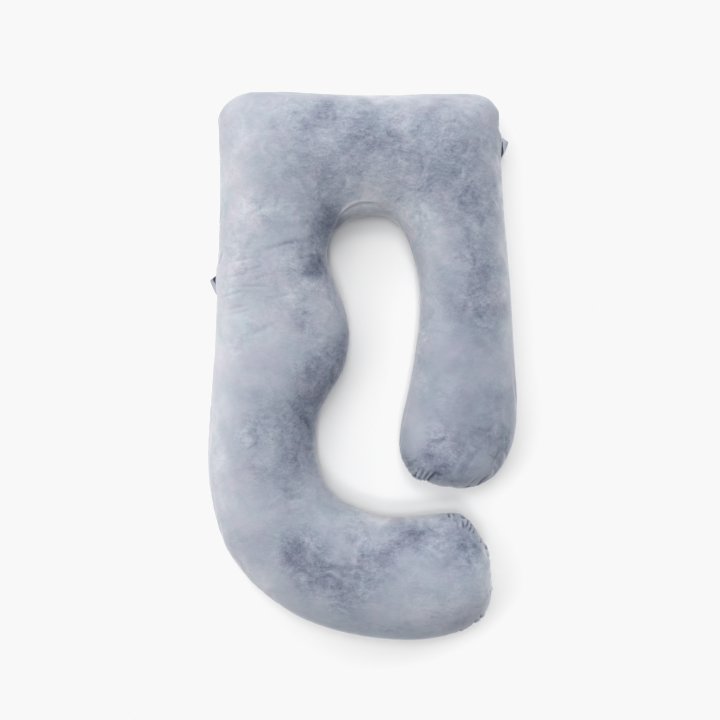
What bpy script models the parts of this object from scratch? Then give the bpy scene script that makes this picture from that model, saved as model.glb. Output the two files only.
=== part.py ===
"""Body pillow: one long filled body bent like the letter G, with a strip loop sewn into each long side.

The pillow lies on its back. Metres, +Z up, +Y towards the head end, +X towards the short straight arm.
The origin is the bottom centre of the pillow's box, on the surface that it lies on.
"""

from math import cos, hypot, pi, sin
from typing import NamedTuple

import bmesh
import bpy
import numpy as np

# Driving sizes.
SEAM_HEIGHT = 0.088          # the side seam runs all round at this height
CROWN = 0.114                # rise of the top above the side seam where the body is wide
SAG = 0.106                  # free fall of the underside below the seam, before the floor presses it flat
FULL_WIDTH = 0.235           # a section about this wide has nearly its full crown; a narrower one is lower
FULLNESS_BLEND = 6.0         # how sharply the crown levels off past that width
TIP_REACH = 0.002            # the closed tip of each arm lies this far past its last section

TOP_SPANS = 13               # faces across the top of a section, from seam to seam
BOTTOM_SPANS = 11            # faces across its underside
STEPS_PER_ROW = 2            # sections lofted for each row of the table

STRIP_THICKNESS = 0.003      # the loops are velvet strip, folded double
STRIP_HEIGHT = 0.016         # the strip stands on edge, centred on the seam
STRIP_STAND_OFF = 0.0185     # the kink of a loop stands this far off the seam
STRIP_KINK = 0.24            # place of the kink along the loop, from its end nearer the head
STRIP_POINTS = 14            # points along each face of a loop
CLEARANCE = 0.0003           # gap between a loop's ends and the body they are sewn to

VELVET = (0.40, 0.43, 0.52, 1.0)
STRIP_VELVET = (0.34, 0.36, 0.44, 1.0)
VELVET_ROUGHNESS = 0.85


class Section(NamedTuple):
    """One cut across the body: its two ends on the side seam, and how full its outer shoulder is."""

    outer_x: float
    outer_y: float
    inner_x: float
    inner_y: float
    shoulder: float


ROUND = 1.9                  # shoulder of a plain section; 2 would be an ellipse
SOFT = 1.7                   # beside a sewn corner
PINCHED = 1.45               # at a sewn corner, where the cloth is drawn in

SECTIONS = (
    # The end of the short arm, then up its length.
    Section(0.274, -0.322, 0.240, -0.321, ROUND),
    Section(0.306, -0.316, 0.200, -0.316, ROUND),
    Section(0.329, -0.303, 0.163, -0.303, ROUND),
    Section(0.351, -0.287, 0.134, -0.288, ROUND),
    Section(0.370, -0.264, 0.114, -0.266, ROUND),
    Section(0.387, -0.232, 0.101, -0.238, ROUND),
    Section(0.400, -0.195, 0.097, -0.197, ROUND),
    Section(0.408, -0.144, 0.104, -0.144, ROUND),
    Section(0.409, -0.091, 0.117, -0.091, ROUND),
    Section(0.403, -0.025, 0.131, -0.025, ROUND),
    Section(0.399, 0.041, 0.141, 0.041, ROUND),
    Section(0.395, 0.107, 0.150, 0.107, ROUND),
    Section(0.392, 0.173, 0.153, 0.173, ROUND),
    Section(0.387, 0.239, 0.148, 0.239, ROUND),
    Section(0.381, 0.306, 0.131, 0.302, ROUND),
    Section(0.376, 0.369, 0.109, 0.352, ROUND),
    Section(0.371, 0.433, 0.090, 0.378, ROUND),
    Section(0.368, 0.491, 0.074, 0.390, ROUND),
    # Round the head end over the arch: the first corner, the drawn-in top edge, the second corner.
    Section(0.366, 0.544, 0.061, 0.395, ROUND),
    Section(0.365, 0.594, 0.051, 0.396, SOFT),
    Section(0.364, 0.638, 0.041, 0.396, PINCHED),
    Section(0.357, 0.674, 0.033, 0.396, PINCHED),
    Section(0.339, 0.701, 0.026, 0.396, PINCHED),
    Section(0.311, 0.715, 0.019, 0.395, PINCHED),
    Section(0.269, 0.719, 0.010, 0.395, SOFT),
    Section(0.213, 0.718, -0.001, 0.394, ROUND),
    Section(0.152, 0.715, -0.012, 0.393, ROUND),
    Section(0.086, 0.712, -0.024, 0.390, ROUND),
    Section(0.007, 0.712, -0.035, 0.386, ROUND),
    Section(-0.073, 0.714, -0.047, 0.380, ROUND),
    Section(-0.147, 0.718, -0.057, 0.372, ROUND),
    Section(-0.213, 0.723, -0.064, 0.364, ROUND),
    Section(-0.271, 0.725, -0.073, 0.357, SOFT),
    Section(-0.316, 0.719, -0.079, 0.346, PINCHED),
    Section(-0.349, 0.702, -0.084, 0.334, PINCHED),
    Section(-0.373, 0.676, -0.088, 0.321, PINCHED),
    Section(-0.382, 0.642, -0.091, 0.307, PINCHED),
    Section(-0.380, 0.600, -0.092, 0.291, SOFT),
    # Down the long arm, past its inward bulge.
    Section(-0.378, 0.549, -0.091, 0.273, ROUND),
    Section(-0.376, 0.491, -0.086, 0.250, ROUND),
    Section(-0.377, 0.425, -0.076, 0.226, ROUND),
    Section(-0.379, 0.353, -0.064, 0.197, ROUND),
    Section(-0.382, 0.274, -0.050, 0.163, ROUND),
    Section(-0.385, 0.194, -0.039, 0.123, ROUND),
    Section(-0.387, 0.120, -0.034, 0.083, ROUND),
    Section(-0.390, 0.046, -0.038, 0.036, ROUND),
    Section(-0.395, -0.025, -0.055, -0.022, ROUND),
    Section(-0.400, -0.097, -0.090, -0.077, ROUND),
    Section(-0.405, -0.171, -0.118, -0.138, ROUND),
    Section(-0.409, -0.245, -0.125, -0.200, ROUND),
    Section(-0.406, -0.308, -0.120, -0.253, ROUND),
    # Round the hook to its blunt end.
    Section(-0.397, -0.361, -0.108, -0.289, ROUND),
    Section(-0.383, -0.419, -0.091, -0.321, ROUND),
    Section(-0.361, -0.478, -0.069, -0.346, ROUND),
    Section(-0.328, -0.529, -0.043, -0.364, ROUND),
    Section(-0.288, -0.576, -0.014, -0.379, ROUND),
    Section(-0.237, -0.619, 0.018, -0.391, ROUND),
    Section(-0.178, -0.658, 0.051, -0.399, ROUND),
    Section(-0.102, -0.690, 0.087, -0.402, ROUND),
    Section(-0.012, -0.713, 0.126, -0.401, ROUND),
    Section(0.078, -0.724, 0.163, -0.396, ROUND),
    Section(0.163, -0.723, 0.197, -0.392, ROUND),
    Section(0.229, -0.710, 0.229, -0.389, ROUND),
    Section(0.275, -0.692, 0.256, -0.392, ROUND),
    Section(0.304, -0.672, 0.281, -0.408, ROUND),
    Section(0.324, -0.648, 0.303, -0.437, ROUND),
    Section(0.336, -0.619, 0.321, -0.471, ROUND),
    Section(0.339, -0.590, 0.331, -0.507, ROUND),
    Section(0.339, -0.563, 0.336, -0.536, ROUND),
)


class StripLoop(NamedTuple):
    """A loop of strip in a long side: which side it is on, and where its two ends are sewn."""

    name: str
    side: int
    head_y: float
    foot_y: float


STRIP_LOOPS = (
    StripLoop("tab_right", 1, 0.606, 0.544),
    StripLoop("tab_left", -1, 0.239, 0.182),
)


def clear_scene() -> None:
    """Remove every object that is in the scene."""
    for old in list(bpy.data.objects):
        bpy.data.objects.remove(old, do_unlink=True)


def velvet(name: str, colour: tuple) -> bpy.types.Material:
    """Return a plain soft material of one colour."""
    material = bpy.data.materials.new(name)
    material.use_nodes = True
    shader = material.node_tree.nodes["Principled BSDF"]
    shader.inputs["Base Color"].default_value = colour
    shader.inputs["Roughness"].default_value = VELVET_ROUGHNESS
    shader.inputs["Metallic"].default_value = 0.0
    return material


def smooth_line(points: np.ndarray, steps: int) -> np.ndarray:
    """Return a smooth line through every point, with `steps` spans between each two of them.

    The line leaves each point in the direction that its neighbours give, weighed by how near they are.
    """
    gaps = np.maximum(np.linalg.norm(np.diff(points[:, :2], axis=0), axis=1), 1e-6)
    slopes = np.diff(points, axis=0) / gaps[:, None]
    tangents = np.empty_like(points)
    tangents[0], tangents[-1] = slopes[0], slopes[-1]
    before, after = gaps[:-1, None], gaps[1:, None]
    tangents[1:-1] = (slopes[:-1] * after + slopes[1:] * before) / (before + after)
    line = []
    for index, gap in enumerate(gaps):
        start, end = points[index], points[index + 1]
        leave, arrive = tangents[index] * gap, tangents[index + 1] * gap
        for step in range(steps):
            t = step / steps
            line.append(
                start * (1 + 2 * t) * (1 - t) ** 2 + leave * t * (1 - t) ** 2
                + end * t * t * (3 - 2 * t) - arrive * t * t * (1 - t)
            )
    line.append(points[-1])
    return np.array(line)


def lofted_sections() -> list:
    """Return the table's sections with smooth ones between them."""
    table = np.array(SECTIONS)
    outer = smooth_line(table[:, [0, 1, 4]], STEPS_PER_ROW)
    inner = smooth_line(table[:, [2, 3]], STEPS_PER_ROW)
    return [Section(*out[:2], *into, out[2]) for out, into in zip(outer, inner)]


def section_ring(section: Section) -> list:
    """Return the points round one section: over the top from the outer seam, then back underneath."""
    width = hypot(section.outer_x - section.inner_x, section.outer_y - section.inner_y)
    share = width / FULL_WIDTH
    rise = share / (1 + share ** FULLNESS_BLEND) ** (1 / FULLNESS_BLEND)
    ring = []
    for step in range(TOP_SPANS + BOTTOM_SPANS):
        on_top = step < TOP_SPANS
        angle = pi * step / TOP_SPANS if on_top else pi + pi * (step - TOP_SPANS) / BOTTOM_SPANS
        across = (1 - cos(angle)) / 2
        shoulder = section.shoulder if across < 0.5 else ROUND
        height = abs(sin(angle)) ** (2 / shoulder)
        z = SEAM_HEIGHT + (CROWN if on_top else -SAG) * rise * height
        ring.append((
            section.outer_x + (section.inner_x - section.outer_x) * across,
            section.outer_y + (section.inner_y - section.outer_y) * across,
            max(z, 0.0),
        ))
    return ring


def arm_tip(section: Section, neighbour: Section) -> tuple:
    """Return the point that closes an arm, a little past its last section."""
    middle = np.array([(section.outer_x + section.inner_x) / 2, (section.outer_y + section.inner_y) / 2])
    inward = np.array([(neighbour.outer_x + neighbour.inner_x) / 2, (neighbour.outer_y + neighbour.inner_y) / 2])
    reach = (middle - inward) / np.linalg.norm(middle - inward) * TIP_REACH
    return (*(middle + reach), SEAM_HEIGHT)


def build_pillow(collection: bpy.types.Collection) -> bpy.types.Object:
    """Loft the filled body through its sections and close both arms."""
    sections = lofted_sections()
    mesh = bmesh.new()
    rings = [[mesh.verts.new(point) for point in section_ring(section)] for section in sections]
    count = len(rings[0])
    for ring, following in zip(rings, rings[1:]):
        for index in range(count):
            ahead = (index + 1) % count
            mesh.faces.new((ring[index], ring[ahead], following[ahead], following[index]))
    first_tip = mesh.verts.new(arm_tip(sections[0], sections[1]))
    last_tip = mesh.verts.new(arm_tip(sections[-1], sections[-2]))
    for index in range(count):
        ahead = (index + 1) % count
        mesh.faces.new((rings[0][ahead], rings[0][index], first_tip))
        mesh.faces.new((rings[-1][index], rings[-1][ahead], last_tip))
    bmesh.ops.recalc_face_normals(mesh, faces=mesh.faces)
    data = bpy.data.meshes.new("pillow")
    mesh.to_mesh(data)
    mesh.free()
    data.shade_smooth()
    data.materials.append(velvet("crushed_velvet", VELVET))
    pillow = bpy.data.objects.new("pillow", data)
    collection.objects.link(pillow)
    return pillow


def seam_x(y: float, side: int) -> float:
    """Return where the outer side seam is at the height y of a long side; side is 1 at +X and -1 at -X."""
    seam = np.array([(section.outer_x, section.outer_y) for section in lofted_sections()])
    long_side = seam[(seam[:, 0] * side > 0.33) & (seam[:, 1] > -0.1)]
    order = np.argsort(long_side[:, 1])
    return float(np.interp(y, long_side[order, 1], long_side[order, 0]))


def loop_outline(loop: StripLoop) -> list:
    """Return the loop's closed outline seen from above: out along its outer face, back along its inner one."""
    outer_face, inner_face = [], []
    for step in range(STRIP_POINTS + 1):
        along = step / STRIP_POINTS
        to_kink = along / STRIP_KINK if along < STRIP_KINK else (1 - along) / (1 - STRIP_KINK)
        stand_off = STRIP_STAND_OFF * sin(to_kink * pi / 2) ** 1.2
        y = loop.head_y + (loop.foot_y - loop.head_y) * along
        seam = seam_x(y, loop.side)
        inner_face.append((seam + loop.side * (CLEARANCE + max(stand_off - STRIP_THICKNESS, 0.0)), y))
        outer_face.append((seam + loop.side * (CLEARANCE + max(stand_off, STRIP_THICKNESS)), y))
    return outer_face + inner_face[::-1]


def build_strip_loop(loop: StripLoop, collection: bpy.types.Collection) -> bpy.types.Object:
    """Extrude one strip loop from its outline, standing on edge at the height of the seam."""
    outline = loop_outline(loop)
    curve = bpy.data.curves.new(loop.name, "CURVE")
    curve.dimensions = "2D"
    curve.fill_mode = "BOTH"
    curve.extrude = STRIP_HEIGHT / 2
    spline = curve.splines.new("POLY")
    spline.points.add(len(outline) - 1)
    for point, (x, y) in zip(spline.points, outline):
        point.co = (x, y, 0.0, 1.0)
    spline.use_cyclic_u = True
    curve.materials.append(velvet(loop.name + "_velvet", STRIP_VELVET))
    strip = bpy.data.objects.new(loop.name, curve)
    strip.location = (0.0, 0.0, SEAM_HEIGHT)
    collection.objects.link(strip)
    return strip


def main() -> None:
    """Build the pillow and its two loops."""
    clear_scene()
    collection = bpy.data.collections.new("body_pillow")
    bpy.context.scene.collection.children.link(collection)
    build_pillow(collection)
    for loop in STRIP_LOOPS:
        build_strip_loop(loop, collection)


main()
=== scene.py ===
"""Looks of a body pillow: a crushed velvet cover on one long filled body, its side seam, gathers and strip loops.

Metres, +Z up, +Y towards the head end, +X towards the short straight arm. The pillow lies on the floor, z = 0.
The long tables are in whole millimetres or tenths of one, and are turned into metres as they are read.
"""

import logging
import math
from dataclasses import dataclass, field
from enum import Enum

import bpy
import numpy as np
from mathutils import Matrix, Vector


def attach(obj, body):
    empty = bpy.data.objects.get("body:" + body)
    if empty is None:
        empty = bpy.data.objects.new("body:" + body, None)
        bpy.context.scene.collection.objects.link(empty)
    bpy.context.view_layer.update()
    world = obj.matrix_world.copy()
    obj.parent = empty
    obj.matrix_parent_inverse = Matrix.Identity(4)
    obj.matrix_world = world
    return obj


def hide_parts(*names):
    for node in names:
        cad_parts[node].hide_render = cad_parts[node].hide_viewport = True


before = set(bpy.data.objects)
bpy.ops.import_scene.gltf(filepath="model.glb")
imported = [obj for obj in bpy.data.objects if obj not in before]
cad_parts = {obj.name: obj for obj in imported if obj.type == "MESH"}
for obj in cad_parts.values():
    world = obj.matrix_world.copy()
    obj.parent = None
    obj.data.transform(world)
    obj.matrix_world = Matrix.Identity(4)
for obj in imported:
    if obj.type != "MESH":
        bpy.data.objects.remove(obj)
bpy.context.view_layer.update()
log = logging.getLogger("body_pillow")

ROOT_BODY = "root"
MM = 1000
TENTH_MM = 10000
PERCENT = 100
TINY = 1e-9


def table(kind: type, units: tuple, rows: tuple) -> tuple:
    """Make one record from each row of whole numbers.

    Args:
        kind: The record's class, which names the columns.
        units: How many of each column's unit make one metre or one whole, or None where the value stays as it is.
        rows: The rows. A short row leaves the last columns at their defaults.

    Returns:
        The records.
    """
    return tuple(
        kind(*(value if unit is None else value / unit for value, unit in zip(row, units)))
        for row in rows
    )


class Side(Enum):
    """A long side of the pillow; the value is the sign of its X."""

    LEFT = -1
    RIGHT = 1


class Reach(Enum):
    """Where a fold lies."""

    TOP_PANEL = "on the top panel"
    OVER_SEAM = "across the seam and a little down the side"
    ALONG_SEAM = "on the side, along the seam"


@dataclass(frozen=True)
class Section:
    """One cut across the body: where it meets the outer and inner side, and how full its outer shoulder is.

    In the table, lengths are in millimetres.
    """

    outer_x: float
    outer_y: float
    inner_x: float
    inner_y: float
    shoulder: float


# The power of the curve over an outer shoulder: the higher, the fuller.
ROUND = 1.9
SOFT = 1.7
PINCHED = 1.45
SECTIONS = table(Section, (MM, MM, MM, MM, None), (
    # The end of the short arm, then up its length.
    (274, -322, 240, -321, ROUND),
    (306, -316, 200, -316, ROUND),
    (329, -303, 163, -303, ROUND),
    (351, -287, 134, -288, ROUND),
    (370, -264, 114, -266, ROUND),
    (387, -232, 101, -238, ROUND),
    (400, -195, 97, -197, ROUND),
    (408, -144, 104, -144, ROUND),
    (409, -91, 117, -91, ROUND),
    (403, -25, 131, -25, ROUND),
    (399, 41, 141, 41, ROUND),
    (395, 107, 150, 107, ROUND),
    (392, 173, 153, 173, ROUND),
    (387, 239, 148, 239, ROUND),
    (381, 306, 131, 302, ROUND),
    (376, 369, 109, 352, ROUND),
    (371, 433, 90, 378, ROUND),
    (368, 491, 74, 390, ROUND),
    # Round the head end over the arch: the first corner, the drawn-in top edge, the second corner.
    (366, 544, 61, 395, ROUND),
    (365, 594, 51, 396, SOFT),
    (364, 638, 41, 396, PINCHED),
    (357, 674, 33, 396, PINCHED),
    (339, 701, 26, 396, PINCHED),
    (311, 715, 19, 395, PINCHED),
    (269, 719, 10, 395, SOFT),
    (213, 718, -1, 394, ROUND),
    (152, 715, -12, 393, ROUND),
    (86, 712, -24, 390, ROUND),
    (7, 712, -35, 386, ROUND),
    (-73, 714, -47, 380, ROUND),
    (-147, 718, -57, 372, ROUND),
    (-213, 723, -64, 364, ROUND),
    (-271, 725, -73, 357, SOFT),
    (-316, 719, -79, 346, PINCHED),
    (-349, 702, -84, 334, PINCHED),
    (-373, 676, -88, 321, PINCHED),
    (-382, 642, -91, 307, PINCHED),
    (-380, 600, -92, 291, SOFT),
    # Down the long arm, past its inward bulge.
    (-378, 549, -91, 273, ROUND),
    (-376, 491, -86, 250, ROUND),
    (-377, 425, -76, 226, ROUND),
    (-379, 353, -64, 197, ROUND),
    (-382, 274, -50, 163, ROUND),
    (-385, 194, -39, 123, ROUND),
    (-387, 120, -34, 83, ROUND),
    (-390, 46, -38, 36, ROUND),
    (-395, -25, -55, -22, ROUND),
    (-400, -97, -90, -77, ROUND),
    (-405, -171, -118, -138, ROUND),
    (-409, -245, -125, -200, ROUND),
    (-406, -308, -120, -253, ROUND),
    # Round the hook to its blunt end.
    (-397, -361, -108, -289, ROUND),
    (-383, -419, -91, -321, ROUND),
    (-361, -478, -69, -346, ROUND),
    (-328, -529, -43, -364, ROUND),
    (-288, -576, -14, -379, ROUND),
    (-237, -619, 18, -391, ROUND),
    (-178, -658, 51, -399, ROUND),
    (-102, -690, 87, -402, ROUND),
    (-12, -713, 126, -401, ROUND),
    (78, -724, 163, -396, ROUND),
    (163, -723, 197, -392, ROUND),
    (229, -710, 229, -389, ROUND),
    (275, -692, 256, -392, ROUND),
    (304, -672, 281, -408, ROUND),
    (324, -648, 303, -437, ROUND),
    (336, -619, 321, -471, ROUND),
    (339, -590, 331, -507, ROUND),
    (339, -563, 336, -536, ROUND),
))


@dataclass(frozen=True)
class SeamShift:
    """A stretch where the seam rides up over the side, because the lower panel bulges there."""

    x: float
    y: float
    reach: float
    degrees: float


SEAM_SHIFTS = (
    SeamShift(-0.010, 0.400, 0.150, 34.0),
    SeamShift(-0.085, 0.330, 0.090, 5.0),
    SeamShift(0.095, 0.360, 0.100, 16.0),
    SeamShift(-0.380, 0.300, 0.110, 15.0),
    SeamShift(-0.375, 0.640, 0.070, 12.0),
    SeamShift(0.330, -0.500, 0.060, 10.0),
)


@dataclass(frozen=True)
class Slack:
    """A patch where the cover is cut with more cloth than it needs, so it wrinkles there as it fills."""

    x: float
    y: float
    reach_x: float
    reach_y: float
    amount: float


SLACKS = (
    Slack(0.255, -0.300, 0.170, 0.110, 1.0),
    Slack(0.330, -0.560, 0.110, 0.170, 0.9),
    Slack(-0.230, 0.230, 0.200, 0.085, 0.45),
    Slack(-0.130, 0.330, 0.110, 0.110, 0.35),
    Slack(-0.360, 0.680, 0.070, 0.070, 0.5),
    Slack(0.340, 0.690, 0.070, 0.070, 0.5),
)


@dataclass(frozen=True)
class Fold:
    """A soft trough, or with a negative depth a ridge, pressed along a bent line seen from above.

    The line runs from its first point to its last, drawn towards the bend. The shade is how much paler the pile is
    painted along it: below 0, painted shadow in the pits and slits of the gathers; above 0, painted light on ridges
    and on the rolled edge. In the table, lengths are in tenths of a millimetre and the shade in hundredths.
    """

    reach: Reach
    x0: float
    y0: float
    bend_x: float
    bend_y: float
    x1: float
    y1: float
    width: float
    depth: float
    shade: float = 0.0

    def line(self, steps: int) -> np.ndarray:
        """Return points along the fold, seen from above."""
        share = np.linspace(0, 1, steps)[:, None]
        start, bend, end = np.array([[self.x0, self.y0], [self.bend_x, self.bend_y], [self.x1, self.y1]])
        return (1 - share) ** 2 * start + 2 * share * (1 - share) * bend + share ** 2 * end


TOP, OVER, ALONG = Reach
FOLDS = table(Fold, (None, *[TENTH_MM] * 8, PERCENT), (
    # The gathers round the short arm's end: dark troughs with pale ridges between them, painted shade in the troughs
    # and painted light on the ridges.
    (OVER, 1683, -3030, 1762, -2871, 1868, -2752, 34, 60, -42),
    (OVER, 1638, -3030, 1709, -2844, 1815, -2725, 24, -16, 20),
    (OVER, 1598, -3003, 1656, -2818, 1762, -2686, 24, 34, -16),
    (OVER, 1551, -3003, 1577, -2818, 1656, -2672, 24, -14, 18),
    (OVER, 1508, -2977, 1537, -2792, 1590, -2712, 22, 24, -12),
    (OVER, 1445, -2950, 1471, -2765, 1524, -2659, 22, -10, 10),
    (OVER, 1405, -2897, 1418, -2765, 1471, -2672, 22, 18, -8),
    (ALONG, 1286, -2792, 1405, -2924, 1577, -3030, 95, -50),
    (ALONG, 1326, -2834, 1431, -2897, 1551, -2966, 26, 30, -42),
    (ALONG, 1709, -3038, 1762, -3069, 1842, -3098, 22, 20, -25),
    (OVER, 1895, -2765, 1947, -2792, 2053, -2818, 50, 14, -14),
    (OVER, 1947, -2924, 1974, -2924, 2027, -2937, 34, 10, -10),
    (OVER, 2239, -2964, 2265, -2977, 2318, -2977, 34, 10, -10),
    (OVER, 2053, -2871, 2027, -2950, 1974, -3030, 22, -10, 12),
    (OVER, 2649, -3188, 2741, -3030, 2900, -2844, 22, -16, 20),
    (OVER, 2728, -3136, 2794, -3030, 2913, -2924, 26, 16, -8),
    (ALONG, 2622, -3151, 2741, -3162, 2874, -3146, 24, 20, -38),
    (OVER, 2911, -3162, 2953, -3083, 3006, -3003, 20, -10, 12),
    (OVER, 2953, -3188, 3059, -3030, 3218, -2844, 34, 52, -26),
    (OVER, 3112, -3056, 3191, -2950, 3297, -2818, 26, 18, -10),
    (OVER, 3191, -3030, 3270, -2911, 3350, -2831, 24, -12, 18),
    (ALONG, 3175, -3046, 3255, -3014, 3313, -2971, 24, 20, -36),
    (OVER, 1100, -2620, 1170, -2650, 1280, -2650, 18, 15),
    (OVER, 1000, -2410, 1100, -2440, 1200, -2440, 18, 13),
    (TOP, 2290, -2620, 2420, -2420, 2600, -2140, 40, 16),
    (TOP, 2530, -2730, 2760, -2420, 3010, -2110, 45, 14),
    (TOP, 3320, -2570, 3450, -2370, 3600, -2060, 32, 19),
    (TOP, 2090, -2490, 2220, -2310, 2370, -2160, 35, 10),
    # The gathers round the hook's blunt end: pits at the seam, a notch, and one small flap, with painted shadow in the
    # pits and the notch.
    (ALONG, 3151, -4644, 3270, -4882, 3310, -5199, 100, -60),
    (ALONG, 3218, -6443, 3112, -6628, 2953, -6787, 85, -36),
    (ALONG, 2847, -6866, 2662, -6959, 2477, -7038, 85, -26),
    (OVER, 2254, -3863, 2270, -3916, 2286, -3982, 34, 55, -42),
    (OVER, 2331, -3890, 2339, -3943, 2344, -4009, 22, -12, 10),
    (OVER, 2387, -3871, 2395, -3916, 2408, -3969, 24, 24, -22),
    (OVER, 2397, -4022, 2437, -4035, 2490, -4062, 46, 14, -16),
    (OVER, 2477, -4088, 2482, -4128, 2477, -4194, 24, 12, -12),
    (OVER, 2620, -4083, 2625, -4141, 2630, -4220, 32, 34, -32),
    (OVER, 2598, -3972, 2635, -3998, 2678, -4035, 26, 26, -20),
    (OVER, 2683, -4199, 2736, -4144, 2784, -4099, 30, 45, -34),
    (OVER, 2768, -4284, 2821, -4226, 2868, -4183, 30, 45, -34),
    (OVER, 2863, -4358, 2911, -4310, 2953, -4268, 28, 34, -30),
    (ALONG, 3032, -4353, 3059, -4432, 3069, -4511, 40, -14, 10),
    (OVER, 3128, -4538, 3101, -4564, 3075, -4604, 26, 42, -30),
    (OVER, 2874, -4591, 2900, -4617, 2926, -4644, 46, 8, -10),
    (OVER, 2979, -4697, 3006, -4723, 3032, -4776, 46, 8, -10),
    (ALONG, 3154, -4644, 3202, -4776, 3260, -4922, 28, 56, -46),
    (ALONG, 3122, -4710, 3165, -4855, 3233, -4988, 42, -26, 16),
    (ALONG, 3286, -5782, 3329, -5861, 3334, -5980, 24, 16, -32),
    (ALONG, 3366, -5755, 3392, -5861, 3387, -5967, 26, -30, 6),
    (OVER, 3096, -6496, 3093, -6589, 3106, -6694, 32, 54, -46),
    (ALONG, 3233, -6390, 3225, -6496, 3191, -6602, 20, 14, -14),
    (ALONG, 3165, -6417, 3175, -6496, 3165, -6602, 24, -12, 10),
    (OVER, 2964, -6649, 2932, -6723, 2911, -6827, 36, 48, -36),
    (OVER, 3006, -6536, 2990, -6602, 2974, -6668, 22, 12, -10),
    (OVER, 2593, -6903, 2556, -6956, 2519, -7041, 32, 36, -32),
    (OVER, 2702, -6880, 2678, -6933, 2662, -6985, 24, 16, -12),
    (OVER, 2847, -6840, 2826, -6893, 2805, -6946, 24, 14, -10),
    (TOP, 1090, -3940, 1270, -4010, 1450, -4120, 30, 15),
    # Fine wrinkles across the long arm below the head end.
    (TOP, -2660, 2900, -2040, 3180, -1090, 3220, 34, 28, -5),
    (TOP, -2350, 2970, -2040, 3120, -1650, 3220, 26, 16, -5),
    (TOP, -3060, 2440, -2780, 2470, -2550, 2560, 26, 19),
    (TOP, -3720, 1760, -3370, 1870, -3060, 1920, 30, 22),
    (TOP, -3580, 1420, -3290, 1520, -2900, 1560, 30, 17),
    (TOP, -3550, 2660, -3060, 2740, -2580, 2790, 29, 15),
    (TOP, -3470, 2300, -3040, 2350, -2700, 2430, 29, 17),
    (TOP, -2990, 2150, -2580, 2250, -2090, 2450, 31, 15),
    (TOP, -1990, 2610, -1600, 2790, -1040, 2890, 31, 17),
    (TOP, -2370, 1680, -2010, 1810, -1680, 1860, 34, 13),
    (TOP, -1860, 1910, -1630, 2070, -1450, 2270, 29, 15),
    (TOP, -3600, 1300, -3140, 1340, -2730, 1500, 34, 13),
    (TOP, -2940, 760, -2580, 890, -2220, 1120, 43, 15),
    (TOP, -3400, 2020, -2880, 2070, -2420, 2020, 29, 13),
    # The seam's own fold down the left edge, and the drawn-in head corners, with painted shade in their troughs and
    # painted shadow in the gap beside the right strip loop.
    (ALONG, -3640, 2990, -3750, 2700, -3850, 2360, 24, 42, -12),
    (ALONG, -3830, 2680, -3860, 2350, -3840, 2000, 100, -50),
    (ALONG, -3650, 4070, -3730, 3890, -3780, 3650, 22, 19),
    (ALONG, -3830, 3440, -3770, 3360, -3730, 3310, 18, 24),
    (ALONG, -3850, 6640, -3855, 6520, -3840, 6400, 24, 42, -32),
    (ALONG, -3800, 6700, -3820, 6520, -3800, 6330, 40, -26, 8),
    (ALONG, -3830, 5970, -3790, 5710, -3780, 5440, 20, 19),
    (ALONG, -2990, 7260, -2920, 7255, -2850, 7260, 34, -40, -12),
    (ALONG, 3560, 6820, 3605, 6720, 3620, 6600, 80, -34),
    (ALONG, 3585, 6790, 3615, 6700, 3625, 6580, 24, 24, -30),
    (ALONG, 3640, 6430, 3620, 6320, 3650, 6210, 80, 40),
    (ALONG, 3660, 6130, 3700, 6000, 3690, 5700, 80, -50, 4),
    (ALONG, 3690, 6020, 3700, 5850, 3680, 5600, 26, 6, -30),
    (TOP, 3030, 6800, 3090, 6760, 3150, 6720, 20, 21),
    # The inner seam drawn in at the elbow, with a pale rolled edge that carries on over the arch: painted light on a
    # rim that the lamps leave in shade.
    (ALONG, -890, 2800, -900, 3350, -720, 3700, 36, -10, 75),
    (ALONG, -740, 3680, -560, 4080, -150, 4240, 30, -10, 34),
    (ALONG, -250, 4220, 10, 4270, 250, 4255, 26, -8, 20),
    # Shallow drags over the head end and down the short arm.
    (TOP, -1470, 6880, -960, 6820, -420, 6860, 25, 14),
    (TOP, -1370, 6720, -960, 6670, -600, 6730, 27, 11),
    (TOP, -350, 5990, 40, 5710, 470, 5380, 32, 17),
    (TOP, 2760, 2500, 3140, 2450, 3550, 2530, 36, 10),
    (TOP, 2960, 3120, 3270, 3170, 3580, 3070, 32, 10),
))


@dataclass(frozen=True)
class PileAndLightStroke:
    """One sweep of a hand over the pile: it lies lighter (positive tone) or darker along an oval patch. Many sweeps
    also paint light and shade: paler on sides that face the light or that the lamps leave too dark, darker where shade
    falls.

    The oval is turned by an angle in degrees, and the rub is how much more ruffled the pile is in it. In the table,
    lengths are in millimetres, and the tone and the rub in hundredths. Broad sweeps come first, then small touches.
    """

    x: float
    y: float
    length: float
    width: float
    turn: float
    tone: float
    rub: float = 0.0


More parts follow.
